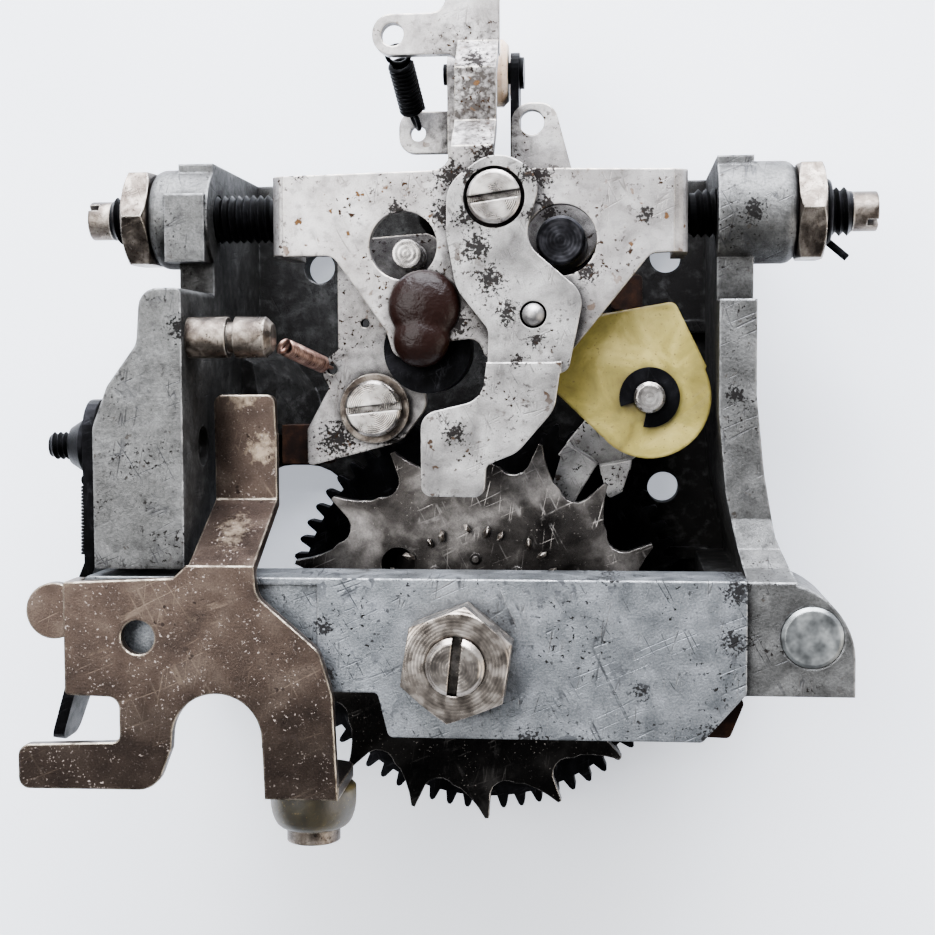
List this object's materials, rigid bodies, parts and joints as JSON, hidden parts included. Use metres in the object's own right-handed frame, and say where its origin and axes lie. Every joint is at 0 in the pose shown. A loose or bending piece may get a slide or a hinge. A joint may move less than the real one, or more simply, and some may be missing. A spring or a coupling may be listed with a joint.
{
  "type": "parking meter mechanism",
  "caption": "Coin mechanism of a mechanical parking meter, out of its housing: cast frame with star wheel, gear, plated rocker and finger, nylon cam, pawls, springs and roller levers.",
  "frame": {"origin": "on the back rest face, under the axis of the main stud", "axes": "+Z out of the back plate along the main stud, +Y from the front bar towards the rocker arm, +X towards the foot of the frame"},
  "size_m": [0.0878, 0.0948, 0.044],
  "materials": {
    "casting": "matte cast",
    "cast_bar": "scratched cast",
    "nickel_plate": "satin nickel plate",
    "finger_plate": "satin, scratched",
    "wheel_steel": "oiled and scratched",
    "black_steel": "blackened",
    "bracket_plate": "dull bronze-tinted plate",
    "nut_plate": "dull plate",
    "nylon": "aged nylon",
    "lacquer": "glossy lacquer",
    "brown_steel": "brown",
    "copper_spring": "copper-washed wire"
  },
  "bodies": {
    "frame_body": {"frame": "casting", "front_bar": "cast_bar", "main_stud": "nickel_plate", "main_nut": "nut_plate", "foot_rivet": "cast_bar", "left_pivot_screw": "black_steel", "right_pivot_screw": "black_steel", "left_lock_nut": "nut_plate", "right_lock_nut": "nut_plate", "lock_wire": "black_steel", "bar_screws": "wheel_steel", "corner_plate": "brown_steel", "bump_stop": "brown_steel", "cam_stud": "nickel_plate", "cam_clip": "black_steel", "lever_post": "wheel_steel", "lever_screw": "nickel_plate", "lever_collar": "nickel_plate", "spring_post": "nickel_plate", "lever_spring": "copper_spring", "upper_stud": "black_steel", "back_pivot_pin": "wheel_steel", "outer_stud": "black_steel", "outer_nut": "black_steel", "outer_washer": "wheel_steel", "bracket_pin": "wheel_steel"},
    "wheels_body": {"wheel_hub": "wheel_steel", "star_wheel": "wheel_steel", "ratchet_wheel": "wheel_steel", "gear_wheel": "black_steel"},
    "rocker_body": {"rocker_plate": "nickel_plate", "finger_lever": "finger_plate", "finger_screw": "nickel_plate", "finger_pin": "nickel_plate", "adjusting_screw": "wheel_steel", "lacquer_seal": "lacquer", "eccentric_bush": "black_steel", "arm_spring": "black_steel"},
    "cam_body": {"nylon_cam": "nylon"},
    "detent_body": {"detent_pawl": "nickel_plate"},
    "pawl_lever_body": {"pawl_lever": "nickel_plate", "lever_pin": "nickel_plate", "lever_nose": "brown_steel"},
    "upper_lever_body": {"upper_lever": "nickel_plate"},
    "back_lever_body": {"back_lever": "nickel_plate", "back_arm": "black_steel", "back_roller_pin": "black_steel"},
    "back_roller_body": {"back_roller": "nylon"},
    "bracket_body": {"bracket": "bracket_plate", "roller_stud": "nut_plate"},
    "leg_roller_body": {"bracket_roller": "nylon"},
    "outer_lever_body": {"outer_lever": "black_steel", "outer_spring": "black_steel"}
  },
  "joints": [
    {"name": "wheel_spin", "type": "hinge", "parent": "frame_body", "child": "wheels_body", "pos_m": [0, 0, 0.012], "axis": [0, 0, 1], "continuous": true},
    {"name": "rocker_swing", "type": "hinge", "parent": "frame_body", "child": "rocker_body", "pos_m": [0, 0.0452, 0.0225], "axis": [1, 0, 0], "range_deg": [-10, 3], "stiffness_Nm_per_rad": 0.01, "deforming": ["arm_spring"]},
    {"name": "cam_turn", "type": "hinge", "parent": "frame_body", "child": "cam_body", "pos_m": [0.019, 0.0257, 0.0229], "axis": [0, 0, 1], "range_deg": [-10, 20]},
    {"name": "detent_swing", "type": "hinge", "parent": "frame_body", "child": "detent_body", "pos_m": [0.019, 0.0257, 0.012], "axis": [0, 0, 1], "range_deg": [-6, 6]},
    {"name": "pawl_lever_swing", "type": "hinge", "parent": "frame_body", "child": "pawl_lever_body", "pos_m": [-0.0108, 0.0245, 0.0212], "axis": [0, 0, 1], "range_deg": [-6, 6], "stiffness_Nm_per_rad": 0.002, "deforming": ["lever_spring"]},
    {"name": "upper_lever_swing", "type": "hinge", "parent": "frame_body", "child": "upper_lever_body", "pos_m": [0.0097, 0.0421, 0.0197], "axis": [0, 0, 1], "range_deg": [-8, 8]},
    {"name": "back_lever_swing", "type": "hinge", "parent": "frame_body", "child": "back_lever_body", "pos_m": [0, 0.0482, 0.009], "axis": [1, 0, 0], "range_deg": [-4, 8]},
    {"name": "back_roller_spin", "type": "hinge", "parent": "back_lever_body", "child": "back_roller_body", "pos_m": [0, 0.0627, 0.01], "axis": [1, 0, 0], "continuous": true},
    {"name": "bracket_swing", "type": "hinge", "parent": "frame_body", "child": "bracket_body", "pos_m": [-0.0362, -0.0012, 0.0366], "axis": [1, 0, 0], "range_deg": [-3, 8]},
    {"name": "leg_roller_spin", "type": "hinge", "parent": "bracket_body", "child": "leg_roller_body", "pos_m": [-0.016, -0.0165, 0.033], "axis": [0, 1, 0], "continuous": true},
    {"name": "outer_lever_swing", "type": "hinge", "parent": "frame_body", "child": "outer_lever_body", "pos_m": [-0.039, 0.0208, 0.0305], "axis": [1, 0, 0], "range_deg": [-2, 8], "stiffness_Nm_per_rad": 0.01}
  ]
}
